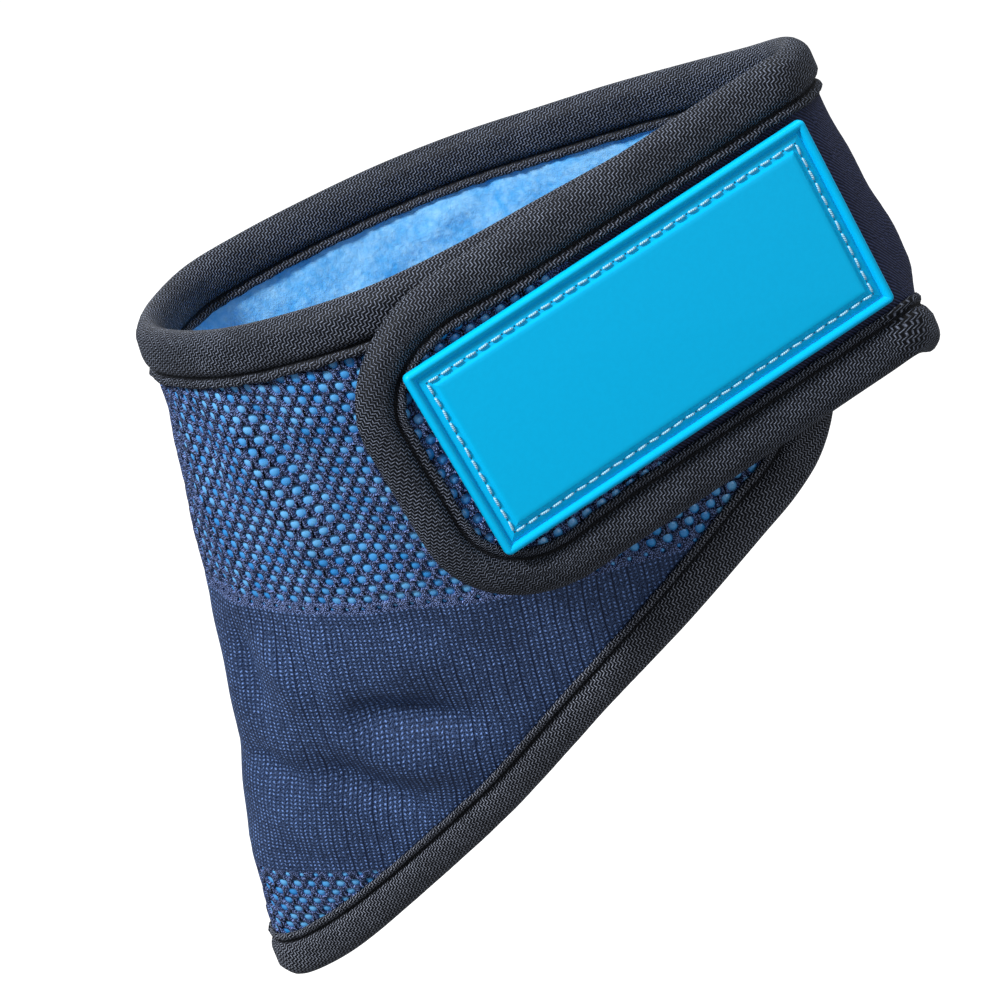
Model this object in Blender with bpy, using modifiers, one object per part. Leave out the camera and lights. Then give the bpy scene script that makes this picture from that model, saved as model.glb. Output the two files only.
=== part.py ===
"""Dog cooling scarf as worn: a closed collar with a hanging throat bib, edged all round with folded tape."""

import math

import bmesh
import bpy
import mathutils
import numpy as np

# Sizes in metres. +Z is up, -X is the way the dog faces, the closure and its badge are on the -Y side.
NECK_DEPTH = 0.1390  # throat fold to nape fold, along the rim
NECK_WIDTH = 0.0790
NECK_TILT = math.radians(23.5)  # the rim rises towards the nape
THROAT_DROP = 0.1550  # rim's front down to the tip
THROAT_BACK = 0.0265
HEM_WIDTH = 0.0620

STRAP_WIDTH = 0.0665
FLAP_LENGTH = 0.1030
FLAP_LEAN = math.radians(11.6)
FLAP_STAND = 0.0107  # level distance from the widest fold's rim out to the flap
FLAP_SLOPE = math.radians(26.5)  # the strap's fold at the nape and the flap on it fall back by this much
END_RADIUS_TOP = (0.0280, 0.0220)  # along the strap, across it
END_RADIUS_LOW = (0.0260, 0.0230)
INNER_RADIUS = (0.0140, 0.0140)

FABRIC = 0.0012
LINING = 0.0012
GAP = 0.0003
TAPE = 0.0012
TAPE_WIDTH = 0.0113
TAPE_END_WIDTH = 0.0092  # round the flap's end
TAPE_PUFF = 0.0003
TAPE_LIP = 0.0020  # outside the stitched seam
TAPE_ROUND = 0.0032  # how far in from the edge the fold is rounded
FABRIC_INSET = 0.0026  # cut edge of the cloth inside the tape's fold

BADGE_LENGTH = 0.0908
BADGE_HEIGHT = 0.0408
BADGE_START = 0.0004
BADGE_DROP = 0.0120
BADGE_THICKNESS = 0.0018
BADGE_BEAD = 0.0017
BADGE_LEDGE = 0.0024
BADGE_STEP = 0.0006
BADGE_BACK_MARGIN = 0.0065  # the rim of the badge that overhangs the tape

CLOSURE_LENGTH = 0.0400
CLOSURE_HEIGHT = 0.0260
CLOSURE_THICKNESS = 0.0030
CLOSURE_START = 0.0310
CLOSURE_DROP = 0.0160

COLUMN_STEP = 0.0115
COLUMN_TURN = math.radians(13.0)
SHEET_ROWS = 9
CORNER_STEPS = 6

# One row per fold line, from the covered inner end round the throat, the far side and the nape.
# rim_along, hem_back and hem_rise run 0 at the throat to 1 at the nape, rim_across and hem_across are
# shares of the half widths, and rim_lift and bow (the outward belly) are shares of STRAP_WIDTH.
FOLD_COLUMNS = ("rim_along", "rim_across", "rim_lift", "hem_back", "hem_rise", "hem_across", "bow")
FOLD_SHARES = (
    (0.860, -0.400, 0.00, 0.895, 0.964, -0.58, 0.00),
    (0.745, -0.575, 0.00, 0.811, 0.851, -0.80, 0.00),
    (0.625, -0.745, 0.00, 0.746, 0.782, -0.88, 0.02),
    (0.500, -0.925, 0.00, 0.642, 0.668, -0.93, 0.04),
    (0.375, -1.000, 0.00, 0.522, 0.532, -0.84, 0.09),
    (0.250, -0.895, 0.00, 0.376, 0.348, -0.64, 0.11),
    (0.145, -0.705, 0.00, 0.236, 0.191, -0.42, 0.08),
    (0.065, -0.420, 0.00, 0.105, 0.066, -0.29, 0.04),
    (0.020, -0.170, 0.00, 0.022, 0.010, -0.17, 0.01),
    (0.006, 0.070, 0.00, 0.000, 0.000, 0.00, 0.00),
    (0.018, 0.330, 0.00, 0.022, 0.010, 0.17, 0.01),
    (0.058, 0.620, 0.00, 0.105, 0.066, 0.29, 0.02),
    (0.140, 0.800, 0.00, 0.236, 0.191, 0.42, 0.03),
    (0.250, 0.925, 0.00, 0.376, 0.348, 0.60, 0.03),
    (0.375, 0.990, 0.00, 0.522, 0.532, 0.78, 0.03),
    (0.500, 0.950, 0.00, 0.642, 0.668, 0.86, 0.02),
    (0.625, 0.810, 0.00, 0.746, 0.782, 0.86, 0.01),
    (0.745, 0.665, 0.00, 0.823, 0.857, 0.78, 0.01),
    (0.860, 0.475, 0.00, 0.888, 0.920, 0.62, 0.01),
    (0.950, 0.250, 0.01, 0.953, 0.962, 0.40, 0.00),
    (1.000, 0.060, 0.03, 0.997, 0.986, 0.12, 0.00),
    (1.014, -0.160, 0.05, 1.015, 1.004, -0.22, 0.00),
    (0.998, -0.345, 0.06, 1.007, 1.018, -0.48, 0.00),
)
# Top edge of the flap where it leaves the nape fold, and the widest fold: along, across and lift of the rim.
FLAP_START_SHARES = (0.977, -0.453, 0.070)
WIDEST_FOLD_SHARES = (0.375, -1.000, 0.000)
# Where the flat flap's own fold lines stand, in shares of FLAP_LENGTH.
FLAP_STATION_SHARES = (0.00, 0.06, 0.20, 0.60, 1.00)
# Shallow folds: share of the way round the rim, share down, then half length, half width and depth as shares
# of STRAP_WIDTH, and the turn in degrees of the fold's length from the rim's own way.
DENT_COLUMNS = ("around", "down", "long", "across", "turn", "depth")
DENT_SHARES = (
    (0.218, 0.31, 0.42, 0.150, -68.0, -0.030),
    (0.222, 0.70, 0.34, 0.150, -33.0, -0.034),
    (0.262, 0.62, 0.34, 0.150, -50.0, 0.022),
)
# Throat fold's line: share down, offset in shares of THROAT_DROP, forwards positive.
THROAT_LINE_SHARES = (
    (0.0, 0.0),
    (0.12, -0.014),
    (0.40, -0.012),
    (0.60, -0.006),
    (0.78, 0.014),
    (0.90, 0.014),
    (1.0, 0.0),
)


def unit(vector):
    return vector / np.linalg.norm(vector, axis=-1, keepdims=True)


ALONG = np.array([math.cos(NECK_TILT), 0.0, math.sin(NECK_TILT)])
NECK_UP = np.array([-math.sin(NECK_TILT), 0.0, math.cos(NECK_TILT)])
ACROSS = np.array([0.0, 1.0, 0.0])
RIM_FRONT = -ALONG * NECK_DEPTH / 2
TIP = RIM_FRONT + np.array([THROAT_BACK, 0.0, -THROAT_DROP])


def rim_point(rim_along, rim_across, rim_lift):
    point = RIM_FRONT + rim_along * NECK_DEPTH * ALONG
    return point + rim_across * NECK_WIDTH / 2 * ACROSS + rim_lift * STRAP_WIDTH * NECK_UP


def flap_turn():
    """The flap's heading in plan, from the nape fold to FLAP_STAND outside the widest fold."""
    back, out, rise = rim_point(*FLAP_START_SHARES) - rim_point(*WIDEST_FOLD_SHARES) + FLAP_STAND * ACROSS
    return math.atan2(out, back) - math.asin(rise * math.tan(FLAP_LEAN) / math.hypot(back, out))


NAPE_FALL = np.array([math.sin(FLAP_SLOPE), 0.0, -math.cos(FLAP_SLOPE)])
HEM_BACK, _, HEM_RISE = rim_point(1.0, 0.0, 0.0) + STRAP_WIDTH * NAPE_FALL - TIP
FLAP_CORNER = rim_point(*FLAP_START_SHARES)
FLAP_TURN = flap_turn()
FLAP_LEVEL = np.array([math.cos(FLAP_TURN), math.sin(FLAP_TURN), 0.0])
FLAP_OUT = np.array(
    [
        math.sin(FLAP_TURN) * math.cos(FLAP_LEAN),
        -math.cos(FLAP_TURN) * math.cos(FLAP_LEAN),
        math.sin(FLAP_LEAN),
    ]
)
FLAP_STEEP = np.cross(FLAP_OUT, FLAP_LEVEL)
FLAP_FRONT = -(math.cos(FLAP_SLOPE) * FLAP_LEVEL + math.sin(FLAP_SLOPE) * FLAP_STEEP)
FLAP_DOWN = math.sin(FLAP_SLOPE) * FLAP_LEVEL - math.cos(FLAP_SLOPE) * FLAP_STEEP


def fold_controls():
    """Control rows of the collar's middle surface: rim point, hem point, bow, each row one fold line."""
    rows = []
    for row in FOLD_SHARES:
        fold = dict(zip(FOLD_COLUMNS, row))
        rim = rim_point(fold["rim_along"], fold["rim_across"], fold["rim_lift"])
        hem = TIP + np.array([fold["hem_back"] * HEM_BACK, 0.0, fold["hem_rise"] * HEM_RISE])
        hem = hem + fold["hem_across"] * HEM_WIDTH / 2 * ACROSS
        rows.append([*rim, *hem, fold["bow"] * STRAP_WIDTH])
    for share in FLAP_STATION_SHARES:
        rim = FLAP_CORNER + share * FLAP_LENGTH * FLAP_FRONT
        rows.append([*rim, *(rim + STRAP_WIDTH * FLAP_DOWN), 0.0])
    return np.array(rows)


def smooth_rows(rows, steps):
    """A smooth curve through all rows, run on straight a little way past both ends."""
    rows = np.vstack([2 * rows[0] - rows[1], rows, 2 * rows[-1] - rows[-2]])
    lengths = np.linalg.norm(np.diff(rows[:, :3], axis=0), axis=1) ** 0.5
    lengths = lengths + 0.5 * np.linalg.norm(np.diff(rows[:, 3:6], axis=0), axis=1) ** 0.5
    slopes = np.diff(rows, axis=0) / lengths[:, None]
    weight = (lengths[1:] / (lengths[:-1] + lengths[1:]))[:, None]
    inner = slopes[:-1] * weight + slopes[1:] * (1 - weight)
    tangents = np.vstack([slopes[:1], inner, slopes[-1:]])
    share = np.linspace(0.0, 1.0, steps, endpoint=False)[:, None]
    pieces = []
    for i, length in enumerate(lengths):
        pieces.append(
            (2 * share**3 - 3 * share**2 + 1) * rows[i]
            + (share**3 - 2 * share**2 + share) * tangents[i] * length
            + (3 * share**2 - 2 * share**3) * rows[i + 1]
            + (share**3 - share**2) * tangents[i + 1] * length
        )
    return np.vstack([*pieces, rows[-1:]]), steps


CURVE, PER_ROW = smooth_rows(fold_controls(), 60)
AROUND = np.concatenate([[0.0], np.cumsum(np.linalg.norm(np.diff(CURVE[:, :3], axis=0), axis=1))])
AROUND = AROUND - AROUND[PER_ROW]
LENGTH = AROUND[-1 - PER_ROW]  # inner end to the flap's end, along the rim
THROAT = AROUND[PER_ROW * 10]
FLAP_FROM = LENGTH - FLAP_LENGTH


def channels(around):
    return np.stack([np.interp(around, AROUND, CURVE[:, i]) for i in range(CURVE.shape[1])], axis=-1)


def fold_length(around):
    row = channels(around)
    return np.linalg.norm(row[..., 3:6] - row[..., 0:3], axis=-1)


def ruled(around, down):
    """Middle surface before its dents: around is metres along the rim, down metres from rim to hem."""
    row = channels(around)
    rim, hem = row[..., 0:3], row[..., 3:6]
    share = (down / np.linalg.norm(hem - rim, axis=-1))[..., None]
    near = np.clip(1 - np.abs(around - THROAT) / (0.30 * NECK_DEPTH), 0, 1)[..., None] ** 2
    forward = np.interp(share, *zip(*THROAT_LINE_SHARES)) * THROAT_DROP * near
    return rim + (hem - rim) * share - forward * np.array([1.0, 0.0, 0.15]), row[..., 6], share[..., 0]


def unbowed_normal(around, down, step=0.0008):
    side = ruled(around + step, down)[0] - ruled(around - step, down)[0]
    fall = ruled(around, down + step)[0] - ruled(around, down - step)[0]
    return unit(np.cross(side, fall))


def middle(around, down):
    """The collar's middle surface with its belly and its dents."""
    around, down = np.broadcast_arrays(np.asarray(around, float), np.asarray(down, float))
    point, bow, share = ruled(around, down)
    push = bow * 4 * share * (1 - share)
    for row in DENT_SHARES:
        dent = dict(zip(DENT_COLUMNS, row))
        side = around - dent["around"] * LENGTH
        fall = (share - dent["down"]) * fold_length(around)
        turn = math.radians(dent["turn"])
        along = (side * math.cos(turn) + fall * math.sin(turn)) / (dent["long"] * STRAP_WIDTH)
        across = (fall * math.cos(turn) - side * math.sin(turn)) / (dent["across"] * STRAP_WIDTH)
        push = push + dent["depth"] * STRAP_WIDTH * np.exp(-(along**2) - across**2)
    return point + push[..., None] * unbowed_normal(around, down)


def frame(around, down, step=0.0006):
    side = (middle(around + step, down) - middle(around - step, down)) / (2 * step)
    fall = (middle(around, down + step) - middle(around, down - step)) / (2 * step)
    return side, fall, unit(np.cross(side, fall))


def place(around, down, height):
    return middle(around, down) + np.asarray(height)[..., None] * frame(around, down)[2]


def stations():
    """Where the columns stand along the rim: close together where the rim or the hem turns."""
    fine = np.linspace(0.0, LENGTH, 4000)
    row = channels(fine)
    spent = np.diff(fine) / COLUMN_STEP
    for part in (row[:, 0:3], row[:, 3:6]):
        way = unit(np.diff(part, axis=0))
        turn = np.arccos(np.clip((way[1:] * way[:-1]).sum(axis=1), -1, 1))
        spent[1:] = np.maximum(spent[1:], turn / COLUMN_TURN + 0.35 * spent[1:])
    spent = np.where(fine[1:] > FLAP_FROM + COLUMN_STEP, np.diff(fine) / (2.4 * COLUMN_STEP), spent)
    count = np.concatenate([[0.0], np.cumsum(spent)])
    columns = int(math.ceil(count[-1]))
    return np.interp(np.linspace(0, count[-1], columns + 1), count, fine)


def corner(radius, steps):
    """A quarter of an ellipse, as distances in from the end and from the long edge."""
    angle = np.linspace(0.0, math.pi / 2, steps + 1)
    return radius[0] * (1 - np.sin(angle)), radius[1] * (1 - np.cos(angle))


def edge_inset(around, radii, end, inset):
    """How far an end's rounded corner pushes the long edge in at this column."""
    along = radii[0] - inset
    deep = radii[1] - inset
    reach = np.clip((along - (np.abs(end - around) - inset)) / along, 0.0, 1.0)
    return deep * (1 - np.sqrt(1 - reach**2))


def material(name, colour, roughness):
    made = bpy.data.materials.new(name)
    made.use_nodes = True
    shader = made.node_tree.nodes["Principled BSDF"]
    shader.inputs["Base Color"].default_value = (*colour, 1.0)
    shader.inputs["Roughness"].default_value = roughness
    shader.inputs["Metallic"].default_value = 0.0
    return made


def add_object(name, mesh_data, look, collection):
    mesh = bpy.data.meshes.new(name)
    mesh_data.to_mesh(mesh)
    mesh_data.free()
    made = bpy.data.objects.new(name, mesh)
    made.data.materials.append(look)
    collection.objects.link(made)
    return made


def grid_mesh(points):
    """A Blender grid with its vertices moved to points[column, row]."""
    columns, rows = points.shape[0] - 1, points.shape[1] - 1
    mesh_data = bmesh.new()
    bmesh.ops.create_grid(mesh_data, x_segments=columns, y_segments=rows, size=1.0)
    for vertex in mesh_data.verts:
        column = round((vertex.co.x + 1) / 2 * columns)
        row = round((vertex.co.y + 1) / 2 * rows)
        vertex.co = points[column, row]
    return mesh_data


def thicken(made, thickness):
    shell = made.modifiers.new("Thickness", "SOLIDIFY")
    shell.thickness = thickness
    shell.offset = 0.0
    shell.use_even_offset = True


def cloth_sheet(name, height, thickness, look, collection):
    """The whole cloth, cut FABRIC_INSET inside the tape's fold, at this height from the middle surface."""
    flat = stations()
    flat = flat[(flat > FABRIC_INSET + INNER_RADIUS[0]) & (flat < LENGTH - END_RADIUS_TOP[0])]
    angle = np.linspace(0.0, math.pi / 2 * 0.93, CORNER_STEPS)
    inner = FABRIC_INSET + (INNER_RADIUS[0] - FABRIC_INSET) * (1 - np.sin(angle[::-1]))
    outer = LENGTH - FABRIC_INSET - (END_RADIUS_TOP[0] - FABRIC_INSET) * (1 - np.sin(angle))
    around = np.concatenate([inner, flat, outer])
    top = FABRIC_INSET + edge_inset(around, END_RADIUS_TOP, LENGTH, FABRIC_INSET)
    top = top + edge_inset(around, INNER_RADIUS, 0.0, FABRIC_INSET)
    low = FABRIC_INSET + edge_inset(around, END_RADIUS_LOW, LENGTH, FABRIC_INSET)
    low = low + edge_inset(around, INNER_RADIUS, 0.0, FABRIC_INSET)
    share = np.linspace(0.0, 1.0, SHEET_ROWS + 1)[None, :]
    down = top[:, None] + (fold_length(around) - low - top)[:, None] * share
    across = np.broadcast_to(around[:, None], down.shape)
    made = add_object(name, grid_mesh(place(across, down, np.full(down.shape, height))), look, collection)
    thicken(made, thickness)
    return made


def tape_profile(width):
    """The folded tape's middle line, outer lip to inner lip: distance in from the edge, height."""
    seam = FABRIC + GAP / 2 + GAP + TAPE / 2
    roll = seam + TAPE_PUFF
    return np.array(
        [
            (width, seam + TAPE_PUFF / 3),
            (width - TAPE_LIP, seam),
            (width - TAPE_LIP * 1.8, roll),
            (TAPE_ROUND, roll),
            (TAPE, roll * 0.66),
            (TAPE / 2, 0.0),
            (TAPE, -roll * 0.66),
            (TAPE_ROUND, -roll),
            (width, -seam),
        ]
    )


def tape_run(name, around, down, width, way, look, collection):
    """Folded tape along this line of the collar's edge, which heads way at each point."""
    side, fall, normal = frame(around, down)
    inward = unit(np.cross(normal, way))
    across, along = unit(np.cross(fall, normal)), unit(np.cross(side, normal))
    step_around = (inward * across).sum(1) / (side * across).sum(1)
    step_down = (inward * along).sum(1) / (fall * along).sum(1)
    points = []
    for i in range(len(tape_profile(TAPE_WIDTH))):
        reach = np.array([tape_profile(w)[i, 0] for w in width])
        height = np.array([tape_profile(w)[i, 1] for w in width])
        points.append(place(around + step_around * reach, down + step_down * reach, height))
    made = add_object(name, grid_mesh(np.stack(points, axis=1)), look, collection)
    thicken(made, TAPE)
    return made


def edge_loop():
    """The collar's whole edge, clockwise from the inner end's top: around, down and tape width."""
    flat = stations()
    rim = flat[(flat > INNER_RADIUS[0]) & (flat < LENGTH - END_RADIUS_TOP[0])]
    hem = flat[(flat > INNER_RADIUS[0]) & (flat < LENGTH - END_RADIUS_LOW[0])][::-1]
    top_in, top_drop = corner(END_RADIUS_TOP, CORNER_STEPS)
    low_in, low_rise = corner(END_RADIUS_LOW, CORNER_STEPS)
    inner_in, inner_drop = corner(INNER_RADIUS, CORNER_STEPS - 2)
    end_down = np.linspace(END_RADIUS_TOP[1], STRAP_WIDTH - END_RADIUS_LOW[1], 4)[1:-1]
    inner_up = np.linspace(fold_length(0.0) - INNER_RADIUS[1], INNER_RADIUS[1], 5)
    pieces = (
        (inner_in[::-1], inner_drop[::-1]),
        (rim, np.zeros(len(rim))),
        (LENGTH - top_in, top_drop),
        (np.full(len(end_down), LENGTH), end_down),
        ((LENGTH - low_in)[::-1], (STRAP_WIDTH - low_rise)[::-1]),
        (hem, fold_length(hem)),
        (inner_in, fold_length(inner_in) - inner_drop),
        (np.zeros(len(inner_up) - 2), inner_up[1:-1]),
    )
    around = np.concatenate([piece[0] for piece in pieces])
    down = np.concatenate([piece[1] for piece in pieces])
    near_end = np.clip((around - (LENGTH - 1.4 * END_RADIUS_TOP[0])) / (1.2 * END_RADIUS_TOP[0]), 0.0, 1.0)
    width = TAPE_WIDTH + (TAPE_END_WIDTH - TAPE_WIDTH) * near_end
    return around, down, width


def add_tapes(look, collection):
    """The tape in two runs, which meet at the covered inner end and on the far side of the hem."""
    around, down, width = edge_loop()
    line = middle(around, down)
    way = unit(np.roll(line, -1, axis=0) - np.roll(line, 1, axis=0))
    around, down, width, way = [np.concatenate([item, item[:1]]) for item in (around, down, width, way)]
    hem_seam = int(np.argmax((down > STRAP_WIDTH / 2) & (around < FLAP_FROM - STRAP_WIDTH / 2)))
    ends = len(around) - 1
    runs = (("neck_tape", 0, hem_seam), ("hem_tape", hem_seam, ends))
    for name, first, last in runs:
        part = [item[first : last + 1].copy() for item in (around, down, width, way)]
        for item in part[:2]:
            item[0] = item[0] + (item[1] - item[0]) * 0.03
            item[-1] = item[-1] + (item[-2] - item[-1]) * 0.03
        tape_run(name, *part, look, collection)


def flap_point(along, down, out):
    return FLAP_CORNER + along * FLAP_FRONT + down * FLAP_DOWN + out * FLAP_OUT


def flap_matrix(along, down, out):
    rows = np.eye(4)
    rows[:3, 0], rows[:3, 1], rows[:3, 2] = -FLAP_FRONT, -FLAP_DOWN, FLAP_OUT
    rows[:3, 3] = flap_point(along, down, out)
    return rows


def add_block(name, middle_at, size, look, collection, front=(), back=()):
    """A block lying flat on the flap, its middle along, down and out from the flap's top corner.

    front and back list the steps of each broad face, outermost first: how far in, how far up."""
    mesh_data = bmesh.new()
    bmesh.ops.create_cube(mesh_data, size=1.0)
    bmesh.ops.scale(mesh_data, vec=size, verts=mesh_data.verts)
    for side, steps in ((1, front), (-1, back)):
        face = max(mesh_data.faces, key=lambda item: side * item.calc_center_median().z)
        for width, rise in steps:
            bmesh.ops.inset_region(mesh_data, faces=[face], thickness=width, depth=rise)
    made = add_object(name, mesh_data, look, collection)
    made.matrix_world = mathutils.Matrix(flap_matrix(*middle_at).tolist())
    soft = made.modifiers.new("Soft edges", "BEVEL")
    soft.width = BADGE_STEP / 2
    soft.segments = 2
    soft.limit_method = "ANGLE"
    soft.angle_limit = math.radians(40.0)
    return made


def main():
    for old in list(bpy.data.objects):
        bpy.data.objects.remove(old, do_unlink=True)
    scarf = bpy.data.collections.new("dog_cooling_scarf")
    bpy.context.scene.collection.children.link(scarf)

    outer_look = material("outer_knit", (0.030, 0.045, 0.120), 0.75)
    lining_look = material("lining_fleece", (0.110, 0.400, 0.830), 0.85)
    tape_look = material("edge_twill", (0.020, 0.023, 0.030), 0.70)
    badge_look = material("badge_rubber", (0.0, 0.430, 0.790), 0.45)
    closure_look = material("closure_nylon", (0.015, 0.016, 0.020), 0.80)

    cloth_sheet("outer_cloth", (GAP + FABRIC) / 2, FABRIC, outer_look, scarf)
    cloth_sheet("lining", -(GAP + LINING) / 2, LINING, lining_look, scarf)
    add_tapes(tape_look, scarf)

    cloth_top = GAP / 2 + FABRIC + GAP
    tape_top = GAP / 2 + FABRIC + GAP + TAPE + TAPE_PUFF + GAP
    badge_middle = (
        BADGE_START + BADGE_LENGTH / 2,
        BADGE_DROP + BADGE_HEIGHT / 2,
        tape_top + BADGE_THICKNESS / 2,
    )
    badge_size = (BADGE_LENGTH, BADGE_HEIGHT, BADGE_THICKNESS)
    badge_front = (
        (BADGE_BEAD, 0.0),
        (BADGE_STEP / 2, -BADGE_STEP),
        (BADGE_LEDGE, 0.0),
        (BADGE_STEP, BADGE_STEP),
    )
    badge_back = ((BADGE_BACK_MARGIN, 0.0), (GAP, tape_top - cloth_top))
    add_block("badge", badge_middle, badge_size, badge_look, scarf, badge_front, badge_back)

    closure_middle = (
        CLOSURE_START + CLOSURE_LENGTH / 2,
        CLOSURE_DROP + CLOSURE_HEIGHT / 2,
        -(GAP / 2 + LINING + GAP + CLOSURE_THICKNESS / 2),
    )
    closure_size = (CLOSURE_LENGTH, CLOSURE_HEIGHT, CLOSURE_THICKNESS)
    add_block("closure_pad", closure_middle, closure_size, closure_look, scarf)


main()
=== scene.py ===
"""Looks of the dog cooling scarf: perforated and ribbed knit, soft blue lining, folded twill tape and moulded badge."""

import math

import bpy
import numpy as np
from mathutils import Matrix


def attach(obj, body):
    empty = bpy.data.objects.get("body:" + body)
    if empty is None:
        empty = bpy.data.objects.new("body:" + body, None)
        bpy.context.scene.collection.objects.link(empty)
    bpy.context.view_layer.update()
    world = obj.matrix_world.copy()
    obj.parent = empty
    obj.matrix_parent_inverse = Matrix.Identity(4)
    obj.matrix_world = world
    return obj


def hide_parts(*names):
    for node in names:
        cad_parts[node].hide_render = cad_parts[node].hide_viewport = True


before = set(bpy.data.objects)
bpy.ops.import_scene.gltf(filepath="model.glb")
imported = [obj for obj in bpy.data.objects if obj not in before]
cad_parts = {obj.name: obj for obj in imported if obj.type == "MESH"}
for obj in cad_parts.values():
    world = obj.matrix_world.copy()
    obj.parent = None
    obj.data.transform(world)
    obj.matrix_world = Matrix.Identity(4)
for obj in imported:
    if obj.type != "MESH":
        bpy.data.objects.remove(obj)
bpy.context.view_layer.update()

# ---------------------------------------------------------------- sizes in metres, as in the part's own frame
# +Z is up, -X is the way the dog faces, the closure and its badge are on the -Y side.
NECK_DEPTH = 0.1390
NECK_WIDTH = 0.0790
NECK_TILT = math.radians(23.5)
THROAT_DROP = 0.1550
THROAT_BACK = 0.0265
HEM_WIDTH = 0.0620
STRAP_WIDTH = 0.0665
FLAP_LENGTH = 0.1030
FLAP_LEAN = math.radians(11.6)
FLAP_STAND = 0.0107
FLAP_SLOPE = math.radians(26.5)
END_RADIUS_TOP = (0.0280, 0.0220)
END_RADIUS_LOW = (0.0260, 0.0230)
INNER_RADIUS = (0.0140, 0.0140)

FACE = 0.00135  # each cloth's outer face from the collar's middle surface
LINING_DROP = 0.0009  # the lining's front from the outer knit's face
TAPE_WIDTH = 0.0113
TAPE_END_WIDTH = 0.0092
TAPE_OUT = 0.00325  # the tape's crown from the middle surface
TAPE_UNDER = 0.0090  # how far the cloth reaches out under the tape, measured from the edge
TAPE_PRESS = 0.0006

BADGE_LENGTH = 0.0908
BADGE_HEIGHT = 0.0408
BADGE_START = 0.0004
BADGE_DROP = 0.0120
BADGE_BACK = 0.00345  # the badge's back face from the middle surface
BADGE_THICKNESS = 0.0018
BADGE_BACK_MARGIN = 0.0065
BADGE_BEAD = 0.0017
BADGE_LEDGE = 0.0026
BADGE_CORNER = 0.0012

CLOSURE_LENGTH = 0.0400
CLOSURE_HEIGHT = 0.0260
CLOSURE_THICKNESS = 0.0030
CLOSURE_START = 0.0310
CLOSURE_DROP = 0.0160

# One row per fold line, from the covered inner end round the throat, the far side and the nape. rim_along, hem_back
# and hem_rise run 0 at the throat to 1 at the nape, rim_across and hem_across are shares of the half widths, and
# rim_lift and bow (the outward belly) are shares of STRAP_WIDTH.
FOLD_COLUMNS = ("rim_along", "rim_across", "rim_lift", "hem_back", "hem_rise", "hem_across", "bow")
FOLD_SHARES = (
    (0.860, -0.400, 0.00, 0.895, 0.964, -0.58, 0.00),
    (0.745, -0.575, 0.00, 0.811, 0.851, -0.80, 0.00),
    (0.625, -0.745, 0.00, 0.746, 0.782, -0.88, 0.02),
    (0.500, -0.925, 0.00, 0.642, 0.668, -0.93, 0.04),
    (0.375, -1.000, 0.00, 0.522, 0.532, -0.84, 0.09),
    (0.250, -0.895, 0.00, 0.376, 0.348, -0.64, 0.11),
    (0.145, -0.705, 0.00, 0.236, 0.191, -0.42, 0.08),
    (0.065, -0.420, 0.00, 0.105, 0.066, -0.29, 0.04),
    (0.020, -0.170, 0.00, 0.022, 0.010, -0.17, 0.01),
    (0.006, 0.070, 0.00, 0.000, 0.000, 0.00, 0.00),
    (0.018, 0.330, 0.00, 0.022, 0.010, 0.17, 0.01),
    (0.058, 0.620, 0.00, 0.105, 0.066, 0.29, 0.02),
    (0.140, 0.800, 0.00, 0.236, 0.191, 0.42, 0.03),
    (0.250, 0.925, 0.00, 0.376, 0.348, 0.60, 0.03),
    (0.375, 0.990, 0.00, 0.522, 0.532, 0.78, 0.03),
    (0.500, 0.950, 0.00, 0.642, 0.668, 0.86, 0.02),
    (0.625, 0.810, 0.00, 0.746, 0.782, 0.86, 0.01),
    (0.745, 0.665, 0.00, 0.823, 0.857, 0.78, 0.01),
    (0.860, 0.475, 0.00, 0.888, 0.920, 0.62, 0.01),
    (0.950, 0.250, 0.01, 0.953, 0.962, 0.40, 0.00),
    (1.000, 0.060, 0.03, 0.997, 0.986, 0.12, 0.00),
    (1.014, -0.160, 0.05, 1.015, 1.004, -0.22, 0.00),
    (0.998, -0.345, 0.06, 1.007, 1.018, -0.48, 0.00),
)
FLAP_START_SHARES = (0.977, -0.453, 0.070)
WIDEST_FOLD_SHARES = (0.375, -1.000, 0.000)
FLAP_STATION_SHARES = (0.00, 0.06, 0.20, 0.60, 1.00)
DENT_COLUMNS = ("around", "down", "long", "across", "turn", "depth")
DENT_SHARES = (
    (0.218, 0.31, 0.42, 0.150, -68.0, -0.030),
    (0.222, 0.70, 0.34, 0.150, -33.0, -0.034),
    (0.262, 0.62, 0.34, 0.150, -50.0, 0.022),
)
THROAT_LINE_SHARES = (
    (0.0, 0.0),
    (0.12, -0.014),
    (0.40, -0.012),
    (0.60, -0.006),
    (0.78, 0.014),
    (0.90, 0.014),
    (1.0, 0.0),
)
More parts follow.
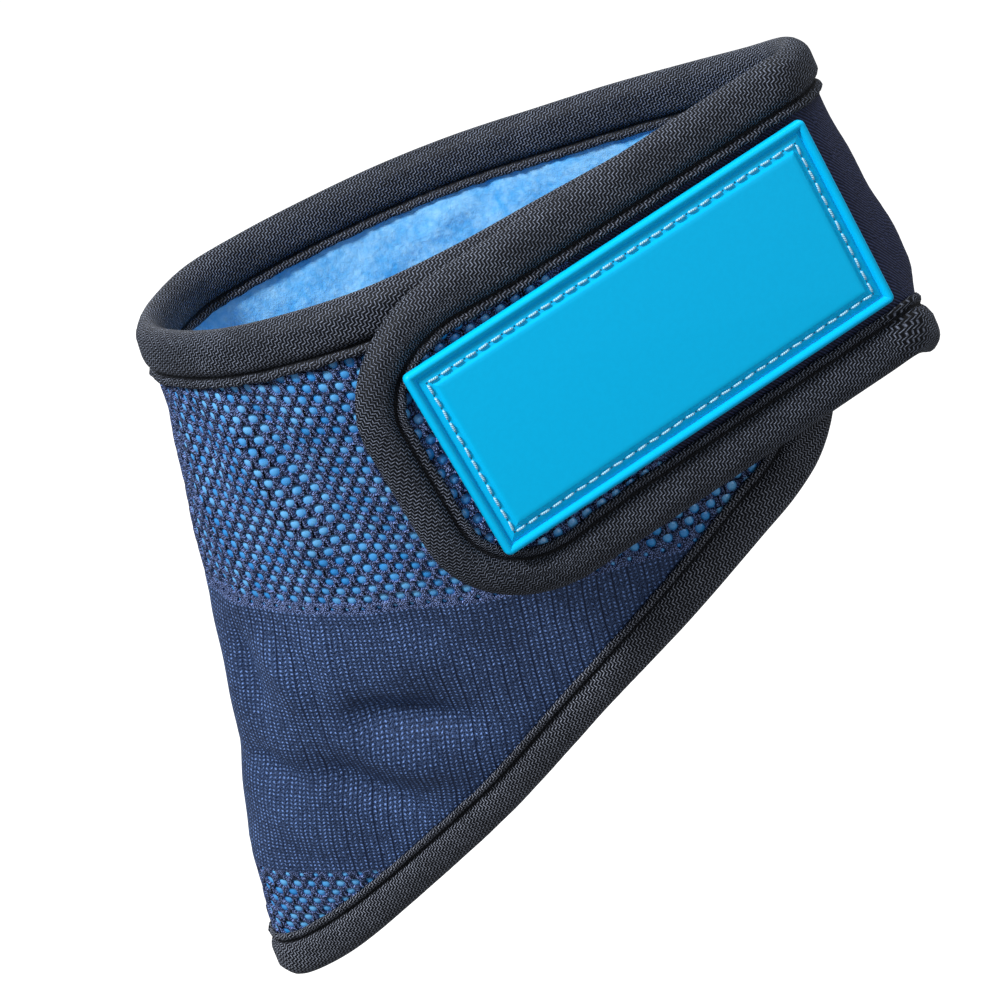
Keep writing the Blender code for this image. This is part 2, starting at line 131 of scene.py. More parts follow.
# Finer creases of the worn cloth, from one end to the other: metres round the rim and down from it at each end,
# then half width and depth, outwards positive.
CREASES = (
    (0.1100, 0.0150, 0.0985, 0.0560, 0.0044, 0.0018),
    (0.1040, 0.0120, 0.0900, 0.0540, 0.0036, -0.0015),
    (0.1220, 0.0120, 0.1170, 0.0380, 0.0035, -0.0007),
    (0.0700, 0.0200, 0.0780, 0.0480, 0.0060, 0.0009),
    (0.1270, 0.0330, 0.1205, 0.0520, 0.0030, 0.0008),
    (0.1057, 0.0880, 0.0872, 0.0994, 0.0036, -0.0033),
    (0.1165, 0.1005, 0.1008, 0.1182, 0.0036, -0.0031),
    (0.1105, 0.0935, 0.0960, 0.1094, 0.0032, 0.0022),
    (0.1183, 0.0690, 0.1143, 0.0860, 0.0028, 0.0018),
    (0.1255, 0.0676, 0.1247, 0.0856, 0.0024, -0.0020),
    (0.1313, 0.0970, 0.1197, 0.1063, 0.0032, -0.0024),
    (0.1052, 0.0660, 0.1077, 0.0949, 0.0032, 0.0015),
    (0.0930, 0.0640, 0.0800, 0.0860, 0.0045, -0.0014),
    (0.1350, 0.0600, 0.1240, 0.0570, 0.0026, -0.0014),
    (0.1400, 0.1010, 0.1318, 0.0990, 0.0030, -0.0007),
    (0.1290, 0.1110, 0.1180, 0.1250, 0.0034, 0.0010),
    (0.1660, 0.0300, 0.1750, 0.0620, 0.0050, -0.0013),
    (0.1800, 0.0760, 0.1640, 0.1020, 0.0045, 0.0012),
    (0.2050, 0.0300, 0.2180, 0.0700, 0.0060, 0.0012),
    (0.1900, 0.0900, 0.2140, 0.1060, 0.0045, -0.0014),
    (0.2500, 0.0200, 0.2420, 0.0560, 0.0060, -0.0010),
    (0.3215, 0.0220, 0.3215, 0.0420, 0.0080, 0.0014),
    (0.3215, 0.0380, 0.3215, 0.0620, 0.0085, 0.0036),
    (0.3150, 0.0180, 0.3060, 0.0480, 0.0040, -0.0010),
    (0.2960, 0.0200, 0.2880, 0.0440, 0.0050, 0.0010),
)

# ---------------------------------------------------------------- the knit
HOLE_PITCH = 0.0034  # along a row of holes
ROW_PITCH = 0.00227  # from one staggered row to the next
HOLE_SIZE = (0.00105, 0.00119)  # half its width along the row, half its height
HOLE_SIDES = 12
HOLE_RINGS = ((1.23, 0.00010), (1.07, -0.00006), (0.98, -0.00055))  # share of the hole, height from the knit's face
POCKET_RINGS = ((1.18, -0.00078), (0.86, -0.00048), (0.44, -0.00026))  # the lining's blister in each hole
YARN_CROWN = 0.00014
ROW_TILT = math.radians(12.2)  # the rows' square-on direction, forwards of straight down
BAND_END = 0.0582  # below the rim's front: perforated above, ribbed below
TUFT_SIZE = 0.50  # of a full hole, in the perforated band's last row
TIP_START = 0.1245  # perforated again from here down
NAPE_START = 0.2650  # round the rim: closed twill from here over the nape
FLAP_MESH_FROM = 0.0530  # along the flap from the nape: perforated from here to its free end

# ---------------------------------------------------------------- camera and room
LENS = 100.0
CAMERA_DISTANCE = 0.580
CAMERA_ELEVATION = math.radians(24.0)
CAMERA_AIM = (0.009, 0.0, -0.068)
FLOOR_LEVEL = -0.330


def unit(vector):
    return vector / np.linalg.norm(vector, axis=-1, keepdims=True)


ALONG = np.array([math.cos(NECK_TILT), 0.0, math.sin(NECK_TILT)])
NECK_UP = np.array([-math.sin(NECK_TILT), 0.0, math.cos(NECK_TILT)])
ACROSS = np.array([0.0, 1.0, 0.0])
RIM_FRONT = -ALONG * NECK_DEPTH / 2
TIP = RIM_FRONT + np.array([THROAT_BACK, 0.0, -THROAT_DROP])
ROW_FALL = np.array([math.sin(ROW_TILT), 0.0, -math.cos(ROW_TILT)])


def rim_point(rim_along, rim_across, rim_lift):
    point = RIM_FRONT + rim_along * NECK_DEPTH * ALONG
    return point + rim_across * NECK_WIDTH / 2 * ACROSS + rim_lift * STRAP_WIDTH * NECK_UP


def flap_turn():
    """The flap's heading, in plan, that takes its plane from the nape fold to FLAP_STAND outside the widest fold."""
    back, out, rise = rim_point(*FLAP_START_SHARES) - rim_point(*WIDEST_FOLD_SHARES) + FLAP_STAND * ACROSS
    return math.atan2(out, back) - math.asin(rise * math.tan(FLAP_LEAN) / math.hypot(back, out))


NAPE_FALL = np.array([math.sin(FLAP_SLOPE), 0.0, -math.cos(FLAP_SLOPE)])
HEM_BACK, _, HEM_RISE = rim_point(1.0, 0.0, 0.0) + STRAP_WIDTH * NAPE_FALL - TIP
FLAP_CORNER = rim_point(*FLAP_START_SHARES)
FLAP_TURN = flap_turn()
FLAP_LEVEL = np.array([math.cos(FLAP_TURN), math.sin(FLAP_TURN), 0.0])
FLAP_OUT = np.array(
    [
        math.sin(FLAP_TURN) * math.cos(FLAP_LEAN),
        -math.cos(FLAP_TURN) * math.cos(FLAP_LEAN),
        math.sin(FLAP_LEAN),
    ]
)
FLAP_STEEP = np.cross(FLAP_OUT, FLAP_LEVEL)
FLAP_FRONT = -(math.cos(FLAP_SLOPE) * FLAP_LEVEL + math.sin(FLAP_SLOPE) * FLAP_STEEP)
FLAP_DOWN = math.sin(FLAP_SLOPE) * FLAP_LEVEL - math.cos(FLAP_SLOPE) * FLAP_STEEP


# ---------------------------------------------------------------- the collar's middle surface
def fold_controls():
    """Control rows of the collar's middle surface: rim point, hem point, bow, each row one fold line."""
    rows = []
    for row in FOLD_SHARES:
        fold = dict(zip(FOLD_COLUMNS, row))
        rim = rim_point(fold["rim_along"], fold["rim_across"], fold["rim_lift"])
        hem = TIP + np.array([fold["hem_back"] * HEM_BACK, 0.0, fold["hem_rise"] * HEM_RISE])
        hem = hem + fold["hem_across"] * HEM_WIDTH / 2 * ACROSS
        rows.append([*rim, *hem, fold["bow"] * STRAP_WIDTH])
    for share in FLAP_STATION_SHARES:
        rim = FLAP_CORNER + share * FLAP_LENGTH * FLAP_FRONT
        rows.append([*rim, *(rim + STRAP_WIDTH * FLAP_DOWN), 0.0])
    return np.array(rows)


def smooth_rows(rows, steps):
    """A smooth curve through all rows, run on straight a little way past both ends."""
    rows = np.vstack([2 * rows[0] - rows[1], rows, 2 * rows[-1] - rows[-2]])
    lengths = np.linalg.norm(np.diff(rows[:, :3], axis=0), axis=1) ** 0.5
    lengths = lengths + 0.5 * np.linalg.norm(np.diff(rows[:, 3:6], axis=0), axis=1) ** 0.5
    slopes = np.diff(rows, axis=0) / lengths[:, None]
    inner = slopes[:-1] * lengths[1:, None] + slopes[1:] * lengths[:-1, None]
    inner = inner / (lengths[:-1] + lengths[1:])[:, None]
    tangents = np.vstack([slopes[:1], inner, slopes[-1:]])
    share = np.linspace(0.0, 1.0, steps, endpoint=False)[:, None]
    pieces = []
    for i, length in enumerate(lengths):
        pieces.append(
            (2 * share**3 - 3 * share**2 + 1) * rows[i]
            + (share**3 - 2 * share**2 + share) * tangents[i] * length
            + (3 * share**2 - 2 * share**3) * rows[i + 1]
            + (share**3 - share**2) * tangents[i + 1] * length
        )
    return np.vstack([*pieces, rows[-1:]]), steps


CURVE, PER_ROW = smooth_rows(fold_controls(), 60)
AROUND = np.concatenate([[0.0], np.cumsum(np.linalg.norm(np.diff(CURVE[:, :3], axis=0), axis=1))])
AROUND = AROUND - AROUND[PER_ROW]
LENGTH = AROUND[-1 - PER_ROW]  # inner end to the flap's end, along the rim
THROAT = AROUND[PER_ROW * 10]
FLAP_FROM = LENGTH - FLAP_LENGTH


def channels(around):
    return np.stack([np.interp(around, AROUND, CURVE[:, i]) for i in range(CURVE.shape[1])], axis=-1)


def fold_length(around):
    row = channels(around)
    return np.linalg.norm(row[..., 3:6] - row[..., 0:3], axis=-1)


def ruled(around, down):
    """Middle surface before its dents: around is metres along the rim, down is metres from the rim to the hem."""
    row = channels(around)
    rim, hem = row[..., 0:3], row[..., 3:6]
    share = (down / np.linalg.norm(hem - rim, axis=-1))[..., None]
    near = np.clip(1 - np.abs(around - THROAT) / (0.30 * NECK_DEPTH), 0, 1)[..., None] ** 2
    forward = np.interp(share, *zip(*THROAT_LINE_SHARES)) * THROAT_DROP * near
    return rim + (hem - rim) * share - forward * np.array([1.0, 0.0, 0.15]), row[..., 6], share[..., 0]


def unbowed_normal(around, down, step=0.0008):
    side = ruled(around + step, down)[0] - ruled(around - step, down)[0]
    fall = ruled(around, down + step)[0] - ruled(around, down - step)[0]
    return unit(np.cross(side, fall))


def middle(around, down):
    """The collar's middle surface with its belly and its dents."""
    around, down = np.broadcast_arrays(np.asarray(around, float), np.asarray(down, float))
    point, bow, share = ruled(around, down)
    push = bow * 4 * share * (1 - share)
    for row in DENT_SHARES:
        dent = dict(zip(DENT_COLUMNS, row))
        side = around - dent["around"] * LENGTH
        fall = (share - dent["down"]) * fold_length(around)
        turn = math.radians(dent["turn"])
        along = (side * math.cos(turn) + fall * math.sin(turn)) / (dent["long"] * STRAP_WIDTH)
        across = (fall * math.cos(turn) - side * math.sin(turn)) / (dent["across"] * STRAP_WIDTH)
        push = push + dent["depth"] * STRAP_WIDTH * np.exp(-(along**2) - across**2)
    return point + push[..., None] * unbowed_normal(around, down)


def frame_at(around, down, step=0.0006):
    side = (middle(around + step, down) - middle(around - step, down)) / (2 * step)
    fall = (middle(around, down + step) - middle(around, down - step)) / (2 * step)
    return side, fall, unit(np.cross(side, fall))


def place(around, down, height):
    return middle(around, down) + np.asarray(height)[..., None] * frame_at(around, down)[2]


# ---------------------------------------------------------------- small surface relief
def smooth_step(low, high, value):
    share = np.clip((value - low) / (high - low), 0.0, 1.0)
    return share * share * (3 - 2 * share)


def ripple(x, y, length, turn=0.0):
    """Smooth irregular waves about this long, between -1 and 1, the same on every run."""
    total = 0.0
    for i in range(5):
        angle = turn + 2.399 * i
        wave = 2 * math.pi / (length * (0.75 + 0.14 * i))
        total = total + np.sin((x * math.cos(angle) + y * math.sin(angle)) * wave + 1.7 * i + 5.1 * turn)
    return total / 3.2


def edge_distance(around, down):
    """Distance in from the nearest long edge."""
    return np.minimum(down, fold_length(around) - down)


def creases(around, down):
    """Fine outward relief of the worn cloth, nothing where the tape holds it or where it lies under the flap."""
    around, down = np.broadcast_arrays(np.asarray(around, float), np.asarray(down, float))
    push = 0.00025 * ripple(around, down, 0.017, 0.4)
    for start_around, start_down, end_around, end_down, wide, depth in CREASES:
        side, fall = around - (start_around + end_around) / 2, down - (start_down + end_down) / 2
        way_side, way_fall = (end_around - start_around) / 2, (end_down - start_down) / 2
        half = math.hypot(way_side, way_fall)
        along = (side * way_side + fall * way_fall) / half**2
        across = (side * way_fall - fall * way_side) / half / wide
        push = push + depth * np.exp(-(across**2) - np.abs(along) ** 3)
    free = smooth_step(TAPE_UNDER, TAPE_WIDTH + 0.008, edge_distance(around, down))
    return push * free * smooth_step(FLAP_FROM, FLAP_FROM - 0.02, around)


def tucked(around, down):
    """How much nearer the middle surface the cloth lies where the tape presses on it."""
    return TAPE_PRESS * (1 - smooth_step(TAPE_UNDER - 0.0004, TAPE_WIDTH - 0.0005, edge_distance(around, down)))


# ---------------------------------------------------------------- meshes
def add_piece(name, points, faces, looks, replaced, pattern=None, face_looks=None):
    """One piece of the object from its points, in metres, and its faces; pattern gives each point's own place in
    the weave, in metres."""
    mesh = bpy.data.meshes.new(name)
    mesh.from_pydata(np.asarray(points, float).reshape(-1, 3).tolist(), [], faces)
    for look in looks:
        mesh.materials.append(look)
    if face_looks is not None:
        mesh.polygons.foreach_set("material_index", np.asarray(face_looks, np.int32))
    if pattern is not None:
        corner_points = np.zeros(len(mesh.loops), np.int32)
        mesh.loops.foreach_get("vertex_index", corner_points)
        flat = np.asarray(pattern, np.float32).reshape(-1, 2)[corner_points]
        mesh.uv_layers.new(name="weave").data.foreach_set("uv", flat.ravel())
    mesh.polygons.foreach_set("use_smooth", np.ones(len(mesh.polygons), bool))
    mesh.validate()
    made = bpy.data.objects.new(name, mesh)
    bpy.context.scene.collection.objects.link(made)
    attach(made, "root")
    if replaced:
        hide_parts(replaced)
    return made


def grid_faces(columns, rows, first=0, wrap=False):
    """Quads of a grid of columns x rows points, stored row by row within each column."""
    faces = []
    for i in range(columns - (0 if wrap else 1)):
        left, right = first + i * rows, first + (i + 1) % columns * rows
        faces.extend((left + j, left + j + 1, right + j + 1, right + j) for j in range(rows - 1))
    return faces


# ---------------------------------------------------------------- node materials
class Look:
    """A Principled material with short ways to write its pattern."""

    def __init__(self, name, roughness, **settings):
        self.material = bpy.data.materials.new(name)
        self.material.use_nodes = True
        self.tree = self.material.node_tree
        self.shader = self.tree.nodes["Principled BSDF"]
        self.shader.inputs["Roughness"].default_value = roughness
        for socket, value in settings.items():
            self.shader.inputs[socket.replace("_", " ")].default_value = value

    def node(self, kind, inputs=(), **settings):
        made = self.tree.nodes.new(kind)
        for key, value in settings.items():
            setattr(made, key, value)
        for socket, value in dict(inputs).items():
            self.feed(made.inputs[socket], value)
        return made

    def feed(self, socket, value):
        if isinstance(value, bpy.types.NodeSocket):
            self.tree.links.new(value, socket)
        else:
            socket.default_value = value

    def math(self, operation, *values, clamp=False):
        made = self.node("ShaderNodeMath", operation=operation, use_clamp=clamp)
        for socket, value in zip(made.inputs, values):
            self.feed(socket, value)
        return made.outputs[0]

    def weave(self, unit_length):
        """The weave's own coordinates, x along and y across, in units of this length."""
        place_node = self.node("ShaderNodeUVMap", uv_map="weave")
        parts = self.node("ShaderNodeSeparateXYZ", {0: place_node.outputs[0]})
        return [self.math("DIVIDE", parts.outputs[i], unit_length) for i in range(2)]

    def zigzag(self, value):
        """0 to 1 and back, once each unit."""
        return self.math("MULTIPLY", self.math("PINGPONG", value, 0.5), 2.0)

    def add(self, *values):
        total = values[0]
        for value in values[1:]:
            total = self.math("ADD", total, value)
        return total

    def times(self, *values):
        total = values[0]
        for value in values[1:]:
            total = self.math("MULTIPLY", total, value)
        return total

    def ramp(self, value, low, high, start=0.0, end=1.0):
        made = self.node("ShaderNodeMapRange", interpolation_type="SMOOTHSTEP")
        for socket, item in zip(made.inputs, (value, low, high, start, end)):
            self.feed(socket, item)
        return made.outputs[0]

    def noise(self, size, detail=2.0, roughness=0.5, where=None):
        """Soft noise, 0 to 1, with features about this size in metres, fixed to the object."""
        if where is None:
            where = self.node("ShaderNodeTexCoord").outputs["Object"]
        inputs = {"Vector": where, "Scale": 1.0 / size, "Detail": detail, "Roughness": roughness}
        return self.node("ShaderNodeTexNoise", inputs).outputs[0]

    def cells(self, along, across):
        """Irregular cells, one to a square unit: how far from the middle of its own cell each place is."""
        where = self.node("ShaderNodeCombineXYZ", {0: along, 1: across}).outputs[0]
        made = self.node("ShaderNodeTexVoronoi", voronoi_dimensions="2D")
        self.feed(made.inputs["Vector"], where)
        self.feed(made.inputs["Scale"], 1.0)
        return made.outputs["Distance"]

    def mix(self, share, first, second):
        made = self.node("ShaderNodeMix", data_type="RGBA")
        for socket, value in zip((made.inputs[0], made.inputs[6], made.inputs[7]), (share, first, second)):
            self.feed(socket, (*value, 1.0) if isinstance(value, tuple) else value)
        return made.outputs[2]

    def colour(self, value):
        self.feed(self.shader.inputs["Base Color"], value)

    def bump(self, height, depth):
        """Relief whose height, 0 to 1, stands for this depth in metres."""
        made = self.node("ShaderNodeBump", {"Height": height, "Strength": 1.0, "Distance": depth})
        self.tree.links.new(made.outputs[0], self.shader.inputs["Normal"])


TWILL_TURN = math.radians(36.0)
TWILL_ROW = 0.68
TWILL_YARN = 0.76


def twill_look(name, pale):
    """Charcoal bias tape: rows of short slanted yarns that turn back at each row, with painted shade along the seam's
    two grooves.
    """
    look = Look(name, 0.60, Specular_IOR_Level=0.16)
    along, across = look.weave(0.001)
    row_way = look.add(look.times(along, math.cos(TWILL_TURN)), look.times(across, math.sin(TWILL_TURN)))
    rise = look.add(look.times(along, -math.sin(TWILL_TURN)), look.times(across, math.cos(TWILL_TURN)))
    wander = look.times(look.math("SUBTRACT", look.noise(0.004, 1.0), 0.5), 0.9)
    rise = look.add(rise, wander)
    turning = look.zigzag(look.math("DIVIDE", rise, TWILL_ROW * 2))
    yarn = look.zigzag(look.add(look.math("DIVIDE", row_way, TWILL_YARN), look.times(turning, 0.75)))
    yarn = look.ramp(yarn, 0.44, 0.90)
    between = look.ramp(look.math("ABSOLUTE", look.math("SUBTRACT", turning, 0.5)), 0.30, 0.5, 1.0, 0.35)
    height = look.times(yarn, between)
    fleck = look.ramp(look.noise(0.0006, 2.0), 0.35, 0.75, 0.55, 1.30)
    broad = look.ramp(look.noise(0.012, 2.0), 0.3, 0.7, 0.80, 1.15)
    # Painted shade: the colour is darkened along the two stitched grooves of the seam, where shade falls.
    outer_seam, inner_seam = (
        look.math("ABSOLUTE", look.math("SUBTRACT", across, 1000 * seam_at)) for seam_at in tape_seams()
    )
    seam = look.ramp(look.math("MINIMUM", outer_seam, inner_seam), 0.25, 0.70, 0.10, 1.0)
    look.colour(look.mix(look.times(height, fleck, broad, seam), (0.0016, 0.0022, 0.0040), pale))
    look.bump(height, 0.00028)
    return look.material


def perforated_look():
    """The yarns between the holes: a tangle of small loops with pale flecks and dark gaps."""
    look = Look("perforated_knit", 0.55, Specular_IOR_Level=0.25)
    along, across = look.weave(0.001)
    long_way = look.add(look.times(along, 1.9), look.times(across, 1.5))
    short_way = look.add(look.times(along, -2.1), look.times(across, 2.6))
    loop = look.ramp(look.cells(long_way, short_way), 0.12, 0.52, 1.0, 0.0)
    cluster = look.ramp(look.noise(0.0016, 1.0), 0.35, 0.70, 0.70, 1.25)
    look.colour(look.mix(look.times(loop, cluster), (0.0100, 0.0190, 0.0600), (0.260, 0.380, 0.800)))
    look.bump(loop, 0.00016)
    return look.material


def ribbed_look():
    """Dense navy knit: columns of small bright loops, with a dark line between the wider ribs."""
    look = Look("ribbed_knit", 0.55, Specular_IOR_Level=0.22)
    along, across = look.weave(0.001)
    bend = look.times(look.math("SUBTRACT", look.noise(0.012, 1.0), 0.5), 1.2)
    along = look.add(along, bend, look.times(across, -0.10))
    column = look.zigzag(look.math("DIVIDE", along, 1.05))
    lean = look.times(look.zigzag(look.math("DIVIDE", along, 2.10)), 0.5)
    course = look.zigzag(look.add(look.math("DIVIDE", across, 0.92), lean))
    loop = look.times(look.ramp(column, 0.28, 0.90), look.ramp(course, 0.22, 0.85))
    rib = look.ramp(look.zigzag(look.math("DIVIDE", along, 3.15)), 0.02, 0.15)
    seen = look.ramp(look.noise(0.022, 1.0), 0.40, 0.62, 0.25, 1.0)
    rib = look.math("SUBTRACT", 1.0, look.times(look.math("SUBTRACT", 1.0, rib), seen))
    fleck = look.ramp(look.noise(0.0009, 2.0), 0.34, 0.68, 0.15, 1.60)
    under = look.ramp(look.cells(look.times(along, 2.9), look.times(across, 3.3)), 0.1, 0.6, 0.24, 0.02)
    broad = look.ramp(look.noise(0.018, 2.0), 0.3, 0.7, 0.75, 1.15)
    tone = look.times(look.add(look.times(loop, fleck, 0.85), under), rib, broad)
    look.colour(look.mix(tone, (0.0038, 0.0105, 0.0370), (0.200, 0.350, 0.780)))
    look.bump(look.times(loop, rib), 0.00024)
    return look.material


def nape_look():
    """Closed twill of the strap over the nape, darker than the bib."""
    look = Look("nape_twill", 0.60, Specular_IOR_Level=0.20)
    along, across = look.weave(0.001)
    line = look.zigzag(look.add(look.math("DIVIDE", along, 0.75), look.math("DIVIDE", across, 0.95)))
    line = look.ramp(line, 0.2, 0.9)
    fleck = look.ramp(look.noise(0.0007, 2.0), 0.30, 0.75, 0.5, 1.2)
    look.colour(look.mix(look.times(line, fleck), (0.008, 0.010, 0.026), (0.045, 0.060, 0.145)))
    look.bump(line, 0.00014)
    return look.material


def lining_look():
    """Soft napped blue lining, paler where the nap is brushed up."""
    look = Look("lining_fleece", 0.80, Sheen_Weight=0.20, Sheen_Roughness=0.6, Specular_IOR_Level=0.25)
    along, across = look.weave(0.001)
    cloud = look.ramp(look.noise(0.009, 3.0, 0.6), 0.30, 0.62)
    nap = look.ramp(look.noise(0.0016, 3.0, 0.6), 0.30, 0.70)
    row = look.ramp(look.cells(look.times(along, 0.55), look.times(across, 0.42)), 0.1, 0.6, 1.0, 0.0)
    tone = look.add(look.times(cloud, 0.45), look.times(nap, 0.30), look.times(row, 0.25))
    look.colour(look.mix(tone, (0.050, 0.400, 0.850), (0.300, 0.640, 0.950)))
    look.bump(look.add(look.times(look.noise(0.0010, 3.0, 0.65), 0.6), look.times(cloud, 0.4)), 0.00045)
    return look.material


def pocket_look():
    """The lining's smooth satin face, seen through the knit's holes."""
    look = Look("lining_satin", 0.30, Specular_IOR_Level=0.75)
    cloud = look.ramp(look.noise(0.007, 2.0), 0.35, 0.65)
    look.colour(look.mix(cloud, (0.025, 0.310, 0.800), (0.150, 0.520, 0.970)))
    look.bump(look.noise(0.0008, 2.0), 0.00005)
    return look.material


def rubber_look():
    """Moulded cyan rubber with a faint satin grain."""
    look = Look("badge_rubber", 0.40, Specular_IOR_Level=0.12)
    cloud = look.ramp(look.noise(0.0010, 2.0), 0.3, 0.7)
    look.colour(look.mix(cloud, (0.000, 0.525, 0.940), (0.000, 0.540, 0.960)))
    look.bump(look.noise(0.0004, 2.0), 0.000010)
    return look.material


def needle_hole_shade_look():
    """Painted shade: the dark blue of the shade inside the needle holes in the rubber."""
    look = Look("badge_pit_shade", 0.6)
    look.colour(look.mix(look.ramp(look.noise(0.0005, 1.0), 0.3, 0.7), (0.000, 0.090, 0.200), (0.000, 0.150, 0.310)))
    return look.material


def thread_look():
    """Pale polyester sewing thread with its twist."""
    look = Look("badge_thread", 0.45, Specular_IOR_Level=0.5)
    along, across = look.weave(0.001)
    twist = look.zigzag(look.add(look.times(along, 2.4), look.times(across, 1.2)))
    look.colour(look.mix(look.ramp(twist, 0.0, 0.7), (0.120, 0.480, 0.740), (0.480, 0.790, 0.930)))
    look.bump(twist, 0.00008)
    return look.material


def loop_tape_look():
    """Black hook-and-loop pad: short tangled loops."""
    look = Look("closure_nylon", 0.80, Sheen_Weight=0.15, Sheen_Roughness=0.5)
    tangle = look.ramp(look.noise(0.0008, 3.0, 0.7), 0.35, 0.65)
    look.colour(look.mix(tangle, (0.006, 0.006, 0.009), (0.035, 0.038, 0.048)))
    look.bump(tangle, 0.0004)
    return look.material


# ---------------------------------------------------------------- knit rows laid across the throat fold
def knit_rows():
    """Straight rows of knitting, square to the throat fold: for a distance along a row and a row's height below the
    rim's front, the tables give the place on the collar as around and down."""
    around = np.arange(-0.006, FLAP_FROM + 0.004, 0.0015)
    heights = np.arange(-0.040, THROAT_DROP + 0.012, 0.0015)
    down = np.linspace(-0.040, 0.190, 155)
    level = (middle(around[:, None], down[None, :]) - RIM_FRONT) @ ROW_FALL
    level = np.maximum.accumulate(level, axis=1)
    found = np.stack([np.interp(heights, row, down) for row in level])
    points = middle(around[:, None], found)
    run = np.vstack([np.zeros(len(heights)), np.cumsum(np.linalg.norm(np.diff(points, axis=0), axis=-1), axis=0)])
    run = run - np.array([np.interp(THROAT, around, column) for column in run.T])
    along = np.arange(-0.160, 0.260, 0.0015)
    table_around = np.stack([np.interp(along, column, around) for column in run.T], axis=1)
    table_down = np.stack([np.interp(along, run[:, j], found[:, j]) for j in range(len(heights))], axis=1)
    return along, heights, table_around, table_down


ROWS_ALONG, ROWS_HEIGHT, ROWS_AROUND, ROWS_DOWN = knit_rows()


def on_rows(along, height):
    """Place on the collar, as around and down, of a point this far along a knit row at this height."""
    i = np.clip((along - ROWS_ALONG[0]) / 0.0015, 0, len(ROWS_ALONG) - 1.001)
    j = np.clip((height - ROWS_HEIGHT[0]) / 0.0015, 0, len(ROWS_HEIGHT) - 1.001)
    left, low = i.astype(int), j.astype(int)
    right_share, low_share = i - left, j - low
    found = []
    for table in (ROWS_AROUND, ROWS_DOWN):
        near = table[left, low] * (1 - low_share) + table[left, low + 1] * low_share
        far = table[left + 1, low] * (1 - low_share) + table[left + 1, low + 1] * low_share
        found.append(near * (1 - right_share) + far * right_share)
    return found


def on_flap(along, height):
    """The same for the flap, whose rows run along the strap: along is metres from the nape, height from the rim."""
    return FLAP_FROM + along, height


def hole_size(kind, around, along, height):
    """The share of a full hole that the knit is open by here."""
    if kind == "flap":
        return smooth_step(FLAP_MESH_FROM - 0.001, FLAP_MESH_FROM + 0.006, along)
    band = np.where(height < BAND_END - ROW_PITCH, 1.0, np.where(height < BAND_END, TUFT_SIZE, 0.0))
    tip = smooth_step(TIP_START, TIP_START + 0.006, height)
    return np.maximum(band, tip) * (around < NAPE_START)


def knit_sheet(kind, where, along_range, height_range, keep):
    """A sheet of knit made hole by hole: its points, faces, place in the weave and each face's look, and its holes.
    Each cell is one hole and the yarns round it, or two plain quads."""
    half = HOLE_PITCH / 2
    first, last = (int(round(x / half)) for x in along_range)
    top, bottom = (int(round(x / ROW_PITCH)) for x in height_range)
    halves, rows = last - first + 1, bottom - top + 1
    cells = [(i, j) for j in range(rows - 1) for i in range((j + top + first) % 2, halves - 2, 2)]
    cells = np.array(cells)
    centres = np.stack([(first + cells[:, 0] + 1) * half, (top + cells[:, 1] + 0.5) * ROW_PITCH], axis=1)
    kept = keep(*where(centres[:, 0], centres[:, 1]))
    cells, centres = cells[kept], centres[kept]
    around, _ = where(centres[:, 0], centres[:, 1])
    size = hole_size(kind, around, centres[:, 0], centres[:, 1])
    size = size * (1 + 0.06 * ripple(centres[:, 0], centres[:, 1], 0.009))
    closed = size < 0.25

    corners = ((0, 0), (1, 0), (2, 0), (2, 1), (1, 1), (0, 1))
    crown = np.full((halves, rows), -1.0)
    for across, up in corners:
        np.maximum.at(crown, (cells[:, 0] + across, cells[:, 1] + up), np.where(closed, 0.0, YARN_CROWN))
    used = np.argwhere(crown >= 0)
    node_index = -np.ones((halves, rows), int)
    node_index[used[:, 0], used[:, 1]] = np.arange(len(used))
    rings, lifts = hole_rings(centres[~closed], size[~closed], HOLE_RINGS)
    pattern = np.vstack([(used + (first, top)) * (half, ROW_PITCH), *rings])
    lift = np.concatenate([crown[used[:, 0], used[:, 1]], *lifts])
    point_around, point_down = where(pattern[:, 0], pattern[:, 1])
    relief = creases(point_around, point_down) - tucked(point_around, point_down)
    points = place(point_around, point_down, FACE + lift + relief)

    nodes_of = np.stack([node_index[cells[:, 0] + across, cells[:, 1] + up] for across, up in corners], axis=1)
    faces, face_looks = [], []
    for c in np.flatnonzero(closed):
        a, b, d, e, f, g = nodes_of[c].tolist()
        faces.extend(((a, g, f, b), (b, f, e, d)))
        face_looks.extend((1, 1) if around[c] < NAPE_START and kind != "flap" else (2, 2))
    open_count = int((~closed).sum())
    fans = corner_fans()
    for k, nodes in enumerate(nodes_of[~closed].tolist()):
        starts = [len(used) + (r * open_count + k) * HOLE_SIDES for r in range(len(HOLE_RINGS))]
        for n, fan in enumerate(fans):
            after = starts[0] + fans[(n + 1) % 6][0]
            faces.extend((nodes[n], starts[0] + p, starts[0] + q) for p, q in zip(fan[:-1], fan[1:]))
            faces.append((nodes[n], starts[0] + fan[-1], after, nodes[(n + 1) % 6]))
        for outer, inner in zip(starts[:-1], starts[1:]):
            faces.extend(ring_faces(outer, inner))
    face_looks.extend([0] * (len(faces) - len(face_looks)))
    return (points, faces, pattern, face_looks), (centres[~closed], size[~closed])


def hole_rings(centres, size, table):
    """Rings of points round each hole, one set for each row of the table, and each point's height."""
    angle = 2 * math.pi * (np.arange(HOLE_SIDES) + 0.5) / HOLE_SIDES - math.pi / 2
    circle = np.stack([HOLE_SIZE[0] * np.cos(angle), HOLE_SIZE[1] * np.sin(angle)], axis=1)
    rings = [(centres[:, None] + size[:, None, None] * share * circle).reshape(-1, 2) for share, _ in table]
    return rings, [np.full(len(ring), height) for ring, (_, height) in zip(rings, table)]


def ring_faces(outer, inner):
    """Quads between two rings of HOLE_SIDES points."""
    turn = [(n, (n + 1) % HOLE_SIDES) for n in range(HOLE_SIDES)]
    return [(outer + n, inner + n, inner + m, outer + m) for n, m in turn]


